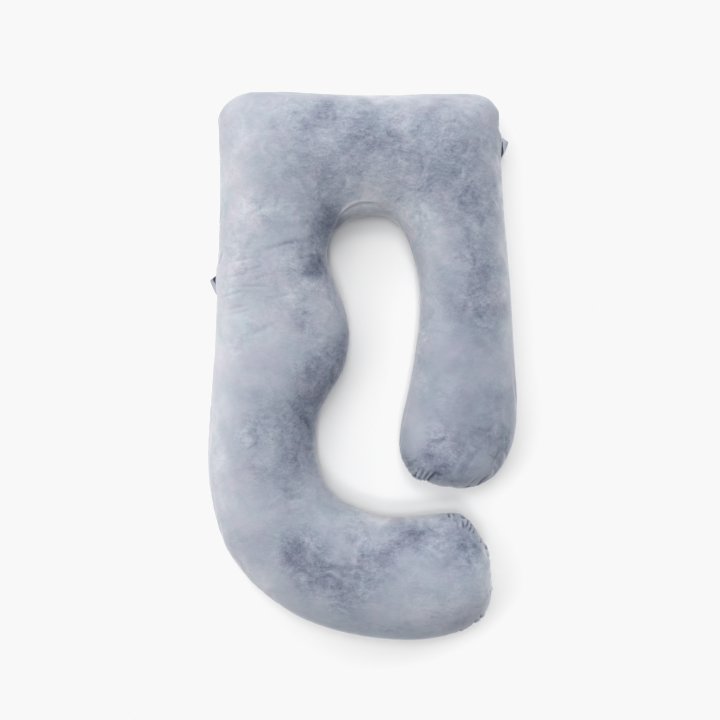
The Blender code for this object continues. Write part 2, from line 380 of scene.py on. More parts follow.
PILE_AND_LIGHT_STROKES = table(PileAndLightStroke, (MM, MM, MM, MM, 1, PERCENT, PERCENT), (
    # Over the arch, pale: painted light on the arch's inner face, which the lamps leave in shade, with painted shade at
    # its left corner.
    (20, 440, 260, 160, 0, 10),
    (25, 405, 190, 90, 0, 27),
    (120, 355, 140, 60, -60, 15),
    (92, 366, 50, 24, -50, 12, -45),
    (-30, 385, 50, 18, 20, -20),
    # The long arm's left side and the head's left corner, pale along the whole length: partly the pile's lay, partly
    # painted light on the side that faces the light from the left.
    (-385, 150, 1300, 170, 90, 17),
    (-280, 600, 300, 250, 0, 5),
    (-350, 520, 500, 120, 90, 9),
    (-380, -220, 350, 160, 90, 5),
    (-290, 580, 300, 180, 90, 9),
    (-265, 150, 260, 200, 0, 5),
    (-265, 50, 280, 160, 0, 3),
    (-300, 420, 260, 120, 90, 3),
    (-370, 50, 300, 80, 90, 9),
    (-385, -150, 350, 60, 90, 11),
    (-310, 330, 150, 100, 90, 8),
    (-360, 160, 250, 60, 90, 5),
    (-375, -60, 300, 50, 90, 3),
    (-400, -130, 250, 50, 90, 6),
    (-315, 585, 130, 80, 90, 5),
    (-280, -200, 200, 50, 90, -7),
    (-360, 470, 160, 60, 90, 6),
    (-398, -165, 150, 50, 90, 9),
    (-260, 405, 90, 80, 0, 16),
    (-345, 245, 80, 60, 90, 10),
    (-270, 100, 120, 40, 0, -5),
    (-345, 40, 80, 60, 0, 5),
    (-330, 220, 80, 50, 90, 5),
    (-317, 65, 60, 50, 0, 7),
    (-303, -190, 60, 50, 90, 4),
    (-260, -270, 60, 50, 0, -5),
    (-292, -171, 50, 50, 0, 15),
    (-258, 400, 60, 40, 0, 8),
    # The head end: dark patches over its middle, paler along its edges with painted sheen.
    (20, 570, 550, 240, 0, -7, 60),
    (100, 640, 240, 100, 0, 4),
    (-150, 510, 200, 120, 0, -5),
    (100, 688, 550, 40, 0, 8),
    (205, 510, 200, 100, 20, -12),
    (10, 575, 190, 100, 0, -15),
    (290, 430, 160, 100, -60, -12),
    (100, 702, 450, 25, 0, 6),
    (-100, 655, 120, 90, 90, -15),
    (240, 625, 120, 90, 0, -6),
    (-50, 455, 180, 55, 10, -9),
    (190, 550, 120, 70, 20, -7),
    (58, 556, 100, 80, 0, -5),
    (250, 460, 160, 50, 0, -6),
    (120, 702, 300, 26, 0, 6),
    (100, 694, 250, 30, 0, 4),
    (-200, 665, 120, 60, 0, 8),
    (90, 610, 90, 80, 90, 6),
    (85, 555, 120, 60, 0, -5),
    (-50, 490, 120, 60, 0, -7),
    (140, 490, 80, 80, 0, -5),
    (110, 440, 90, 70, 0, -11),
    (320, 650, 80, 70, 0, 4),
    (-145, 620, 90, 60, -40, -10),
    (300, 690, 120, 40, 0, 5),
    (200, 570, 80, 60, 0, -4),
    (-200, 705, 150, 30, 0, 4),
    (35, 700, 160, 26, 0, 7),
    (15, 635, 90, 45, 90, -12),
    (265, 560, 80, 50, 0, -5),
    (368, 480, 100, 40, 90, 14),
    (366, 500, 120, 30, 90, 11),
    (330, 425, 60, 60, 0, -10),
    (-100, 585, 70, 50, 90, 12),
    (175, 490, 80, 40, -40, -6),
    (356, 466, 100, 30, 90, 6),
    (-85, 505, 50, 50, 0, -7),
    (112, 425, 50, 50, 0, -10),
    (362, 505, 80, 30, 90, 9),
    (-135, 675, 50, 40, 0, 8),
    (-148, 662, 50, 40, 90, 6),
    (-225, 605, 50, 40, 0, -7),
    (-115, 435, 50, 40, 90, -8),
    (305, 575, 45, 40, 0, -9),
    (0, 712, 80, 22, 0, 12, -45),
    (66, 590, 40, 40, 0, -5),
    (97, 609, 40, 30, 0, 12, -40),
    (66, 490, 40, 30, 90, -5),
    (362, 667, 30, 20, 90, -12, -40),
    # Painted shadow where the right strip loop meets the cover.
    (362, 606, 30, 16, 90, -20),
    # The inner elbow under the arch, the darkest of all, partly the pile and partly painted shade where it faces away
    # from the light, with paler drags beside it: painted light on its rim, which the lamps leave in shade.
    (-240, 230, 300, 200, 0, 0, 20),
    (-90, 365, 140, 70, 65, -20),
    (-100, 330, 220, 40, 62, -6),
    (-82, 345, 150, 40, 80, -14),
    (-150, 410, 90, 60, 30, -5),
    (-115, 375, 100, 50, 80, -10),
    (-130, 270, 100, 50, 0, -10),
    (-92, 395, 80, 55, 30, -12),
    (-120, 255, 80, 55, 0, -22),
    (-84, 223, 140, 30, -74, -14),
    (-170, 375, 80, 40, 0, 5),
    (-88, 300, 130, 24, 90, 10),
    (-230, 400, 100, 30, 20, 5),
    (-200, 265, 90, 30, 0, 7),
    (-175, 230, 60, 40, 0, -7),
    (-120, 215, 80, 30, 0, 10),
    (-62, 385, 90, 24, 45, 8),
    (-60, 388, 70, 26, 60, -10),
    (-105, 268, 60, 26, 90, -10),
    (-170, 300, 50, 30, 0, -6),
    (-95, 235, 50, 30, 60, -10),
    (-126, 305, 40, 30, 0, 12, -40),
    (-148, 260, 40, 30, 0, 8),
    (-128, 235, 40, 30, 0, -5),
    (-64, 402, 40, 26, 60, -12),
    (-81, 252, 40, 24, 70, 12, -45),
    (-89, 208, 40, 24, 90, -10),
    (-123, 208, 30, 30, 0, 10),
    # The inward bulge: pale above, a dark upright drag, dark below and on down the inner side.
    (-230, 130, 340, 260, 90, 6),
    (-170, -120, 450, 160, 90, -8),
    (-200, -120, 200, 150, 30, -8),
    (-210, -280, 200, 120, 90, -6),
    (-90, 0, 150, 110, 60, -18),
    (-230, 130, 180, 80, 45, 3),
    (-145, -145, 160, 80, 90, -13),
    (-95, 135, 120, 80, 90, 6),
    (-155, -220, 120, 80, 90, -10),
    (-120, -50, 100, 90, 0, -12),
    (-145, 130, 150, 40, 90, -12),
    (-135, -155, 100, 60, 90, -6),
    (-248, -172, 80, 70, 0, -6),
    (-110, -78, 90, 60, 0, -10),
    (-142, -195, 100, 50, 90, -8),
    (-42, 70, 160, 30, 92, -7),
    (-70, 5, 80, 60, 0, -5),
    (-60, 160, 100, 40, -60, 8),
    (-125, -165, 150, 26, 92, 6),
    (-190, 165, 60, 60, 0, 8),
    (-150, -170, 90, 40, 90, -8),
    (-160, 100, 70, 50, 90, -5),
    (-97, 2, 70, 50, 0, -10),
    (-100, -24, 70, 50, 0, -8),
    (-226, -180, 70, 50, 0, -5),
    (-118, -225, 120, 22, 85, 10, -40),
    (-98, -85, 100, 26, 55, 3),
    (-50, 10, 120, 20, 90, -12),
    (-40, 12, 80, 18, 90, -10, -40),
    (-125, 65, 40, 30, 0, 5),
    (-200, -235, 40, 30, 0, -5),
    # Round the hook: dark along its middle, and along its lower edge as painted shade; paler at its other edges and its
    # blunt end, partly painted light where the lamps leave them in shade.
    (-50, -500, 500, 140, 5, -5),
    (180, -580, 300, 160, 0, 0, -15),
    (150, -530, 340, 140, 0, -3),
    (-280, -500, 250, 120, -50, 6),
    (200, -580, 160, 120, 0, -7),
    (-260, -550, 300, 60, -45, 10),
    (-380, -340, 240, 70, 88, 8),
    (-20, -550, 160, 100, 10, -13),
    (260, -450, 130, 100, -20, -13),
    (-170, -490, 140, 90, 0, -8),
    (-95, -535, 130, 90, -20, -19),
    (130, -430, 130, 70, 20, -17),
    (120, -727, 280, 32, 2, -16),
    (150, -620, 140, 60, 0, 7),
    (-130, -340, 100, 80, 0, 4),
    (80, -680, 200, 40, 0, -8),
    (150, -400, 330, 24, 0, 8),
    (-40, -420, 130, 60, -15, 5),
    (50, -490, 130, 60, 35, -10),
    (-180, -485, 110, 70, 90, -15),
    (140, -450, 120, 60, 10, -11),
    (200, -472, 120, 60, 0, -5),
    (320, -590, 140, 50, 90, 18),
    (200, -640, 130, 50, 0, -6),
    (-20, -375, 120, 50, -20, 12),
    (-30, -620, 100, 60, 0, -6),
    (100, -398, 260, 22, 0, 14),
    (-180, -340, 110, 50, 90, -6),
    (272, -480, 110, 50, 100, -7),
    (-50, -595, 90, 60, 0, -5),
    (60, -510, 100, 50, 40, -8),
    (-150, -440, 80, 60, 0, -6),
    (-135, -450, 80, 60, 0, -10),
    (-150, -492, 80, 60, 0, -5),
    (240, -500, 80, 60, 0, -6),
    (-120, -560, 80, 60, 60, -7),
    (-60, -605, 80, 60, 0, 3),
    (250, -610, 80, 60, 0, 5),
    (-80, -320, 150, 30, -45, 5),
    (-10, -450, 90, 50, 90, -7),
    (-58, -605, 70, 60, 0, 7),
    (-288, -527, 130, 30, -45, 9),
    (80, -395, 150, 25, 0, 14),
    (120, -430, 120, 30, 0, -8),
    (-6, -472, 70, 50, 60, 8),
    (32, -463, 60, 50, 0, 8),
    (-285, -550, 100, 30, -45, 10),
    (-25, -362, 120, 24, -30, 12, -45),
    (80, -396, 110, 26, 0, 5),
    (130, -550, 70, 40, 0, 6),
    (222, -718, 90, 30, 14, -10, -40),
    (-340, -450, 50, 50, 0, -8),
    (322, -480, 80, 30, 90, 8),
    (260, -665, 60, 40, 0, -5),
    (324, -600, 60, 30, 90, 8),
    (192, -392, 60, 26, 0, 7),
    (-205, -445, 50, 30, 0, -5),
    # The short arm: pale along its inner side, partly painted light where it faces the light from the left; dark along
    # its outer side and at its end, partly painted shade on the side away from the light, with painted sheen in a thin
    # pale strip along the outer edge.
    (270, -50, 700, 200, 90, -8),
    (260, -200, 260, 240, 0, 0, -60),
    (165, 200, 550, 100, 90, 10),
    (380, 200, 600, 50, 92, 12),
    (310, 260, 220, 120, 90, -12),
    (300, -160, 180, 120, 40, -10),
    (230, -220, 150, 120, 0, -8),
    (385, 250, 450, 35, 92, 8),
    (310, 130, 140, 100, 90, -10),
    (125, -100, 250, 50, 95, 9),
    (240, 410, 150, 80, 0, -8),
    (250, -70, 120, 100, 0, -5),
    (200, -170, 150, 80, 90, -7),
    (270, -260, 150, 80, 0, -6),
    (175, 150, 180, 60, 90, 6),
    (367, 400, 300, 35, 90, 12),
    (150, 370, 120, 80, 0, 3),
    (143, 92, 220, 40, 92, 14),
    (340, -200, 110, 80, 0, -8),
    (330, -170, 140, 60, 30, -6),
    (250, 150, 100, 80, 90, -5),
    (200, -192, 100, 80, 0, -8),
    (160, 360, 130, 60, 90, 5),
    (350, -70, 110, 70, 70, -6),
    (382, 290, 220, 30, 90, 12),
    (143, 20, 220, 30, 90, 10),
    (225, 350, 100, 60, 0, -6),
    (160, 140, 120, 50, 90, 5),
    (262, 275, 90, 60, 0, -5),
    (260, 330, 100, 50, 90, -7),
    (170, 220, 100, 50, 90, 5),
    (372, 50, 100, 50, 90, 5),
    (185, -270, 80, 60, 0, -20),
    (175, -225, 70, 60, 0, -7),
    (190, -148, 60, 60, 0, -5),
    (110, -250, 70, 50, -45, -18),
    (310, 250, 60, 50, 0, -7),
    (213, -76, 60, 50, 0, -5),
    (372, -218, 80, 36, 90, -8),
    (250, -306, 140, 20, 0, 6),
    (116, -70, 120, 22, 92, 10, -40),
    (195, -185, 50, 50, 0, 7),
    (238, -217, 50, 50, 90, 12),
    (290, 185, 60, 40, 0, 7),
    (360, 180, 60, 40, 0, 5),
    (366, -200, 60, 40, 90, -8),
    (174, -243, 60, 40, 0, -8),
    (316, 118, 50, 40, 0, -10),
    (262, -268, 50, 36, 0, -6),
    (392, -110, 60, 26, 90, 6),
    (190, -277, 50, 30, 0, -6),
    (399, -210, 60, 22, 80, -12, -45),
    (175, -262, 40, 30, 0, -6),
))


def hermite(points: np.ndarray, places: np.ndarray) -> np.ndarray:
    """Read a smooth line that passes through every point.

    Args:
        points: The line's own points, a row each; the first two columns are x and y.
        places: Where to read it, in rows: 1.5 is half way between the second and third point.

    Returns:
        A row for each place.
    """
    gaps = np.maximum(np.linalg.norm(np.diff(points[:, :2], axis=0), axis=1), TINY)
    slopes = np.diff(points, axis=0) / gaps[:, None]
    tangents = np.empty_like(points)
    tangents[0], tangents[-1] = slopes[0], slopes[-1]
    before, after = gaps[:-1, None], gaps[1:, None]
    tangents[1:-1] = (slopes[:-1] * after + slopes[1:] * before) / (before + after)
    row = np.clip(places.astype(int), 0, len(points) - 2)
    t = (places - row)[:, None]
    gap = gaps[row][:, None]
    return (
        points[row] * (1 + 2 * t) * (1 - t) ** 2
        + tangents[row] * gap * t * (1 - t) ** 2
        + points[row + 1] * t * t * (3 - 2 * t)
        - tangents[row + 1] * gap * t * t * (1 - t)
    )


def resample(values: np.ndarray, places: np.ndarray, wraps: bool) -> np.ndarray:
    """Read a table of values between its rows with a cubic through each four of them.

    Args:
        values: The values, a row for each whole place.
        places: Where to read, in rows.
        wraps: Whether the row after the last is the first again.

    Returns:
        The values at the places.
    """
    count = len(values)
    base = np.floor(places).astype(int)
    t = (places - base).reshape(-1, *([1] * (values.ndim - 1)))

    def row(shift: int) -> np.ndarray:
        """Return the rows this far from each place."""
        index = base + shift
        return values[index % count if wraps else np.clip(index, 0, count - 1)]

    a, b, c, d = row(-1), row(0), row(1), row(2)
    return b + 0.5 * t * (c - a + t * (2 * a - 5 * b + 4 * c - d + t * (3 * (b - c) + d - a)))


def ramp(value: np.ndarray) -> np.ndarray:
    """Return the smooth rise from 0 to 1 of values that run from 0 to 1."""
    value = np.clip(value, 0.0, 1.0)
    return value * value * (3 - 2 * value)


def closer_at_ends(share: np.ndarray, pull: float) -> np.ndarray:
    """Return even steps from 0 to 1 drawn towards both ends."""
    return share - pull * np.sin(2 * math.pi * share) / (2 * math.pi)


@dataclass(frozen=True)
class Crowded:
    """A place where the cover's points lie closer together, to carry its gathers and wrinkles."""

    x: float
    y: float
    reach: float
    extra: float


CROWDED = (
    Crowded(0.255, -0.300, 0.170, 3.2),
    Crowded(0.330, -0.560, 0.180, 3.2),
    Crowded(-0.210, 0.240, 0.220, 0.9),
)


@dataclass
class FilledBody:
    """The pillow's round form, lofted through its sections."""

    seam_height: float = 0.088
    crown: float = 0.114
    sag: float = 0.106
    full_width: float = 0.235
    blend: float = 6.0
    outer_weight: float = 0.6
    top_pull: float = 0.25
    bottom_pull: float = 0.45
    fine_places: int = 4000

    def stations(self, count: int) -> tuple:
        """Spread cuts along the body, closer together where it is crowded.

        Args:
            count: How many cuts.

        Returns:
            The outer ends with their shoulders, and the inner ends, a row for each cut.
        """
        sections = np.array([(s.outer_x, s.outer_y, s.inner_x, s.inner_y, s.shoulder) for s in SECTIONS])
        outer_table, inner_table = sections[:, [0, 1, 4]], sections[:, [2, 3]]
        fine = np.linspace(0, len(sections) - 1, self.fine_places)
        outer, inner = hermite(outer_table, fine), hermite(inner_table, fine)
        middle = (outer[:, :2] + inner) / 2
        step = (
            self.outer_weight * np.linalg.norm(np.diff(outer[:, :2], axis=0), axis=1)
            + (1 - self.outer_weight) * np.linalg.norm(np.diff(inner, axis=0), axis=1)
        )
        crowding = np.ones(len(middle))
        for patch in CROWDED:
            away = np.hypot(middle[:, 0] - patch.x, middle[:, 1] - patch.y) / patch.reach
            crowding += patch.extra * (1 - ramp(away))
        length = np.concatenate([[0], np.cumsum(step * crowding[1:])])
        places = np.interp(np.linspace(0, length[-1], count), length, fine)
        return hermite(outer_table, places), hermite(inner_table, places)

    def seam_lift(self, points: np.ndarray) -> np.ndarray:
        """Return how far up the side the seam runs beside each point, as an angle round the section."""
        lift = np.zeros(len(points))
        for shift in SEAM_SHIFTS:
            away = np.hypot(points[:, 0] - shift.x, points[:, 1] - shift.y) / shift.reach
            lift = np.maximum(lift, math.radians(shift.degrees) * (1 - ramp(away)))
        return lift

    def grid(self, count: int, top_spans: int, bottom_spans: int) -> np.ndarray:
        """Lay points over the body in rings, each from the outer seam over the top and back underneath.

        Args:
            count: How many rings.
            top_spans: Spans across the top panel.
            bottom_spans: Spans across the bottom panel.

        Returns:
            Points by ring and by place round the ring.
        """
        outer, inner = self.stations(count)
        width = np.linalg.norm(outer[:, :2] - inner, axis=1) / self.full_width
        rise = width / (1 + width ** self.blend) ** (1 / self.blend)
        outer_seam = self.seam_lift(outer)
        inner_seam = math.pi - self.seam_lift(inner)
        top = closer_at_ends(np.arange(top_spans) / top_spans, self.top_pull)
        bottom = closer_at_ends(np.arange(bottom_spans) / bottom_spans, self.bottom_pull)
        angle = np.concatenate([
            outer_seam[:, None] + (inner_seam - outer_seam)[:, None] * top,
            inner_seam[:, None] + (2 * math.pi + outer_seam - inner_seam)[:, None] * bottom,
        ], axis=1)
        across = (1 - np.cos(angle)) / 2
        shoulder = np.where(across < 0.5, outer[:, 2:3], ROUND)
        height = np.abs(np.sin(angle)) ** (2 / shoulder)
        above = np.sin(angle) > 0
        z = self.seam_height + np.where(above, self.crown, -self.sag) * rise[:, None] * height
        plan = outer[:, None, :2] + (inner - outer[:, :2])[:, None, :] * across[..., None]
        return np.concatenate([plan, z[..., None]], axis=2)


def ring_normals(points: np.ndarray) -> np.ndarray:
    """Return the outward direction at each point of a grid of rings."""
    along = np.gradient(points, axis=0)
    around = (np.roll(points, -1, axis=1) - np.roll(points, 1, axis=1)) / 2
    normal = np.cross(around, along)
    normal /= np.maximum(np.linalg.norm(normal, axis=2, keepdims=True), TINY)
    outward = np.sign((normal[:, : points.shape[1] // 4, 2]).sum())
    return normal * outward


def ring_mesh(name: str, points: np.ndarray) -> bpy.types.Mesh:
    """Join a grid of rings into one closed mesh, with a point at the middle of each end."""
    count, around = points.shape[:2]
    tips = [points[0].mean(axis=0), points[-1].mean(axis=0)]
    ring, place = np.meshgrid(np.arange(count - 1), np.arange(around), indexing="ij")
    ahead = (place + 1) % around
    quads = np.stack([
        ring * around + place, (ring + 1) * around + place,
        (ring + 1) * around + ahead, ring * around + ahead,
    ], axis=2).reshape(-1, 4)
    last = (count - 1) * around
    fans = []
    for index in range(around):
        following = (index + 1) % around
        fans.append((following, count * around, index))
        fans.append((last + index, count * around + 1, last + following))
    mesh = bpy.data.meshes.new(name)
    mesh.from_pydata(np.vstack([points.reshape(-1, 3), tips]).tolist(), [], quads.tolist() + fans)
    mesh.update()
    return mesh


def placed(name: str, data: bpy.types.ID) -> bpy.types.Object:
    """Return a new object of a mesh, light or camera, linked into the scene."""
    thing = bpy.data.objects.new(name, data)
    bpy.context.scene.collection.objects.link(thing)
    return thing


def new_group(name: str, inputs: dict, outputs: dict) -> tuple:
    """Make an empty shader node group with named sockets.

    Args:
        name: The group's name.
        inputs: Socket type by name, with a default where the socket holds a number.
        outputs: Socket type by name.

    Returns:
        The group's tree, its input node and its output node.
    """
    tree = bpy.data.node_groups.new(name, "ShaderNodeTree")
    for label, (kind, default) in inputs.items():
        socket = tree.interface.new_socket(name=label, in_out="INPUT", socket_type=kind)
        if default is not None:
            socket.default_value = default
    for label, kind in outputs.items():
        tree.interface.new_socket(name=label, in_out="OUTPUT", socket_type=kind)
    return tree, tree.nodes.new("NodeGroupInput"), tree.nodes.new("NodeGroupOutput")


@dataclass(frozen=True)
class Mark:
    """One kind of soft mark: how many to a metre, how finely broken up, how warped, and how it is turned and drawn out.

    A gain above 0 pushes the marks away from their middle. A stretch gives how many to a metre along each axis, once
    the marks are turned by an angle in radians.
    """

    scale: float
    detail: float
    warp: float = 0.0
    gain: float = 0.0
    turn: float = 0.0
    stretch: tuple = ()
    roughness: float = 0.55


def set_inputs(node: bpy.types.Node, values: dict) -> None:
    """Set the constants of a node's sockets by name."""
    for label, value in values.items():
        node.inputs[label].default_value = value


@dataclass
class NodeBench:
    """Short ways to add and join the nodes of one tree."""

    tree: bpy.types.NodeTree

    def add(self, kind: str, **settings) -> bpy.types.Node:
        """Add a node and set its properties."""
        node = self.tree.nodes.new(kind)
        for label, value in settings.items():
            setattr(node, label, value)
        return node

    def join(self, source: bpy.types.NodeSocket, target: bpy.types.NodeSocket) -> None:
        """Link two sockets."""
        self.tree.links.new(source, target)

    def feed(self, socket: bpy.types.NodeSocket, value: object) -> None:
        """Give a socket a constant, or link it where the value is a socket."""
        if isinstance(value, bpy.types.NodeSocket):
            self.join(value, socket)
        else:
            socket.default_value = value

    def maths(self, operation: str, first: object, second: object = 0.0, clamp: bool = False) -> object:
        """Return the output of a Math node on two values."""
        node = self.add("ShaderNodeMath", operation=operation, use_clamp=clamp)
        self.feed(node.inputs[0], first)
        self.feed(node.inputs[1], second)
        return node.outputs[0]

    def swing(self, value: object, amount: object) -> object:
        """Return a 0 to 1 value turned into plus or minus half of the amount."""
        return self.maths("MULTIPLY", self.maths("SUBTRACT", value, 0.5), amount)

    def crisp(self, value: object, gain: float) -> object:
        """Return a 0 to 1 value pushed away from its middle by a gain, and kept within 0 to 1."""
        return self.maths("ADD", self.maths("MULTIPLY", self.maths("SUBTRACT", value, 0.5), gain), 0.5, clamp=True)

    def marks(self, position: object, mark: Mark) -> object:
        """Return one kind of mark over a position, as a value round 0.5."""
        if mark.stretch:
            turned = self.add("ShaderNodeMapping")
            set_inputs(turned, {"Rotation": (0.0, 0.0, mark.turn), "Scale": mark.stretch})
            self.join(position, turned.inputs["Vector"])
            position = turned.outputs["Vector"]
        node = self.add("ShaderNodeTexNoise")
        set_inputs(node, {
            "Scale": mark.scale, "Detail": mark.detail, "Roughness": mark.roughness, "Distortion": mark.warp,
        })
        self.join(position, node.inputs["Vector"])
        return self.crisp(node.outputs["Fac"], mark.gain) if mark.gain else node.outputs["Fac"]


CLOUD = Mark(9.0, 2.0, 0.5)
TINT_PATCH = Mark(15.0, 3.0, 0.8, gain=1.6)
RUFFLED_MARKS = (
    ("Cloud", Mark(17.0, 6.0, 1.8, gain=1.7)),
    ("Drag", Mark(1.0, 3.0, 1.6, turn=0.35, stretch=(26.0, 52.0, 40.0))),
    ("Drag", Mark(62.0, 4.0, 2.4)),
    ("Drag", Mark(1.0, 4.0, 1.6, turn=2.2, stretch=(40.0, 85.0, 60.0))),
    ("Fleck", Mark(230.0, 3.0)),
)
TUFT = Mark(620.0, 2.0)
TUFT_SHARE = 0.35
RUMPLE = Mark(1.0, 3.0, 0.6, turn=0.3, stretch=(60.0, 150.0, 90.0))


@dataclass(frozen=True)
class NapGroup:
    """The clouds, drags and flecks that a crushed pile shows where it lies one way or another."""

    name: str = "crushed_nap"

    def tree(self) -> bpy.types.NodeTree:
        """Return the group, built once: where the pile lies in, how light and how warm it looks out."""
        made = bpy.data.node_groups.get(self.name)
        if made:
            return made
        tree, come, go = new_group(
            self.name,
            {
                "Position": ("NodeSocketVector", None),
                "Lay": ("NodeSocketFloat", 0.5),
                "Ruffle": ("NodeSocketFloat", 0.5),
                "Cloud": ("NodeSocketFloat", 0.35),
                "Drag": ("NodeSocketFloat", 0.25),
                "Fleck": ("NodeSocketFloat", 0.12),
            },
            {"Tone": "NodeSocketFloat", "Warmth": "NodeSocketFloat"},
        )
        bench = NodeBench(tree)
        place, ruffle = come.outputs["Position"], come.outputs["Ruffle"]
        swings = [bench.swing(bench.marks(place, mark), come.outputs[amount]) for amount, mark in RUFFLED_MARKS]
        rough = swings[0]
        for swing in swings[1:]:
            rough = bench.maths("ADD", rough, swing)
        cloud = bench.swing(bench.marks(place, CLOUD), come.outputs["Cloud"])
        # The lay carries the painted light and shade as well as the pile's own lay.
        tone = bench.maths("ADD", come.outputs["Lay"], cloud)
        tone = bench.maths("ADD", tone, bench.maths("MULTIPLY", rough, ruffle))
        bench.join(tone, go.inputs["Tone"])
        bench.join(bench.marks(place, TINT_PATCH), go.inputs["Warmth"])
        return tree


@dataclass(frozen=True)
class PileGroup:
    """The short pile itself: fine tufts and shallow rumples, as a height."""

    name: str = "short_pile"

    def tree(self) -> bpy.types.NodeTree:
        """Return the group, built once: a position in, a height out."""
        made = bpy.data.node_groups.get(self.name)
        if made:
            return made
        tree, come, go = new_group(
            self.name,
            {"Position": ("NodeSocketVector", None), "Rumple": ("NodeSocketFloat", 0.6)},
            {"Height": "NodeSocketFloat"},
        )
        bench = NodeBench(tree)
        place = come.outputs["Position"]
        tufts = bench.maths("MULTIPLY", bench.marks(place, TUFT), TUFT_SHARE)
        rumples = bench.maths("MULTIPLY", bench.marks(place, RUMPLE), come.outputs["Rumple"])
        bench.join(bench.maths("ADD", tufts, rumples), go.inputs["Height"])
        return tree


@dataclass(frozen=True)
class VelvetFinish:
    """Crushed velvet: grey blue, darker where its pile is laid towards the eye and paler where it stands up, and
    painted lighter or darker where light or shade is painted into its tone.
    """

    name: str = "crushed_velvet"
    dark: tuple = (0.096, 0.112, 0.163)
    deep: tuple = (0.192, 0.215, 0.283)
    middle: tuple = (0.305, 0.333, 0.403)
    pale: tuple = (0.424, 0.445, 0.506)
    bright: tuple = (0.556, 0.562, 0.616)
    warm_tint: tuple = (1.070, 0.985, 1.000)
    cool_tint: tuple = (0.935, 1.020, 0.985)
    roughness: float = 0.92
    specular: float = 0.2
    sheen: float = 0.6
    sheen_roughness: float = 0.35
    sheen_tint: tuple = (0.92, 0.92, 0.95)
    cloud: float = 0.40
    drag: float = 0.34
    fleck: float = 0.36
    rumple: float = 0.6
    bump_depth: float = 0.0016
    bump_strength: float = 0.8
    lay_and_light_attribute: str = "pile_lay_and_light"
    ruffle_attribute: str = "pile_ruffle"
    least_ruffle: float = 0.22

    def material(self) -> bpy.types.Material:
        """Return the velvet's material, built once."""
        made = bpy.data.materials.get(self.name)
        if made:
            return made
        material = bpy.data.materials.new(self.name)
        material.use_nodes = True
        bench = NodeBench(material.node_tree)
        shader = material.node_tree.nodes["Principled BSDF"]
        set_inputs(shader, {
            "Roughness": self.roughness,
            "Specular IOR Level": self.specular,
            "Sheen Weight": self.sheen,
            "Sheen Roughness": self.sheen_roughness,
            "Sheen Tint": (*self.sheen_tint, 1.0),
        })
        place = bench.add("ShaderNodeTexCoord").outputs["Object"]
        nap = bench.add("ShaderNodeGroup", node_tree=NapGroup().tree())
        bench.join(place, nap.inputs["Position"])
        for label, stored in (("Lay", self.lay_and_light_attribute), ("Ruffle", self.ruffle_attribute)):
            node = bench.add("ShaderNodeAttribute", attribute_name=stored, attribute_type="GEOMETRY")
            bench.join(node.outputs["Fac"], nap.inputs[label])
        set_inputs(nap, {"Cloud": self.cloud, "Drag": self.drag, "Fleck": self.fleck})
        bench.join(self.shaded(bench, nap), shader.inputs["Base Color"])
        pile = bench.add("ShaderNodeGroup", node_tree=PileGroup().tree())
        bench.join(place, pile.inputs["Position"])
        set_inputs(pile, {"Rumple": self.rumple})
        bump = bench.add("ShaderNodeBump")
        set_inputs(bump, {"Distance": self.bump_depth, "Strength": self.bump_strength})
        bench.join(pile.outputs["Height"], bump.inputs["Height"])
        bench.join(bump.outputs["Normal"], shader.inputs["Normal"])
        return material

    def shaded(self, bench: NodeBench, nap: bpy.types.Node) -> bpy.types.NodeSocket:
        """Return the cloth's colour: five shades of one dye over the tone, which carries the painted light and shade
        too, a little warmer here and cooler there.
        """
        shades = bench.add("ShaderNodeValToRGB")
        bench.join(nap.outputs["Tone"], shades.inputs["Fac"])
        stops = shades.color_ramp.elements
        stops[0].position, stops[0].color = 0.0, (*self.dark, 1.0)
        stops[1].position, stops[1].color = 1.0, (*self.bright, 1.0)
        for position, colour in ((0.25, self.deep), (0.5, self.middle), (0.75, self.pale)):
            stops.new(position).color = (*colour, 1.0)
        tint = bench.add("ShaderNodeMix", data_type="RGBA")
        set_inputs(tint, {"A": (*self.cool_tint, 1.0), "B": (*self.warm_tint, 1.0)})
        bench.join(nap.outputs["Warmth"], tint.inputs["Factor"])
        dyed = bench.add("ShaderNodeMix", data_type="RGBA", blend_type="MULTIPLY")
        dyed.inputs["Factor"].default_value = 1.0
        bench.join(shades.outputs["Color"], dyed.inputs["A"])
        bench.join(tint.outputs["Result"], dyed.inputs["B"])
        return dyed.outputs["Result"]


@dataclass(frozen=True)
class FloorFinish:
    """Plain pale studio floor."""

    name: str = "studio_floor"
    colour: tuple = (0.905, 0.900, 0.893)
    roughness: float = 0.95

    def material(self) -> bpy.types.Material:
        """Return the floor's material."""
        material = bpy.data.materials.new(self.name)
        material.use_nodes = True
        shader = material.node_tree.nodes["Principled BSDF"]
        set_inputs(shader, {"Base Color": (*self.colour, 1.0), "Roughness": self.roughness, "Specular IOR Level": 0.0})
        return material


def soften(values: np.ndarray, passes: int) -> np.ndarray:
    """Return a grid of rings averaged with its neighbours this many times."""
    for _ in range(passes):
        along = np.concatenate([values[:1], values, values[-1:]])
        values = (along[:-2] + 2 * values + along[2:]) / 4
        values = (np.roll(values, 1, axis=1) + 2 * values + np.roll(values, -1, axis=1)) / 4
    return values


def store(mesh: bpy.types.Mesh, name: str, values: np.ndarray) -> None:
    """Store a value for every point of a ring mesh, its two tips taking the mean of the ring beside them."""
    with_tips = np.concatenate([values.ravel(), [values[0].mean(), values[-1].mean()]])
    mesh.attributes.new(name, "FLOAT", "POINT").data.foreach_set("value", with_tips.astype(np.float32))


@dataclass(frozen=True)
class CoverGrid:
    """A grid of points over the cover: its rings, and the spans across the top and the bottom panel in each."""

    rings: int
    top_spans: int
    bottom_spans: int

    def over(self, body: FilledBody) -> np.ndarray:
        """Return the grid's points on a body."""
        return body.grid(self.rings, self.top_spans, self.bottom_spans)


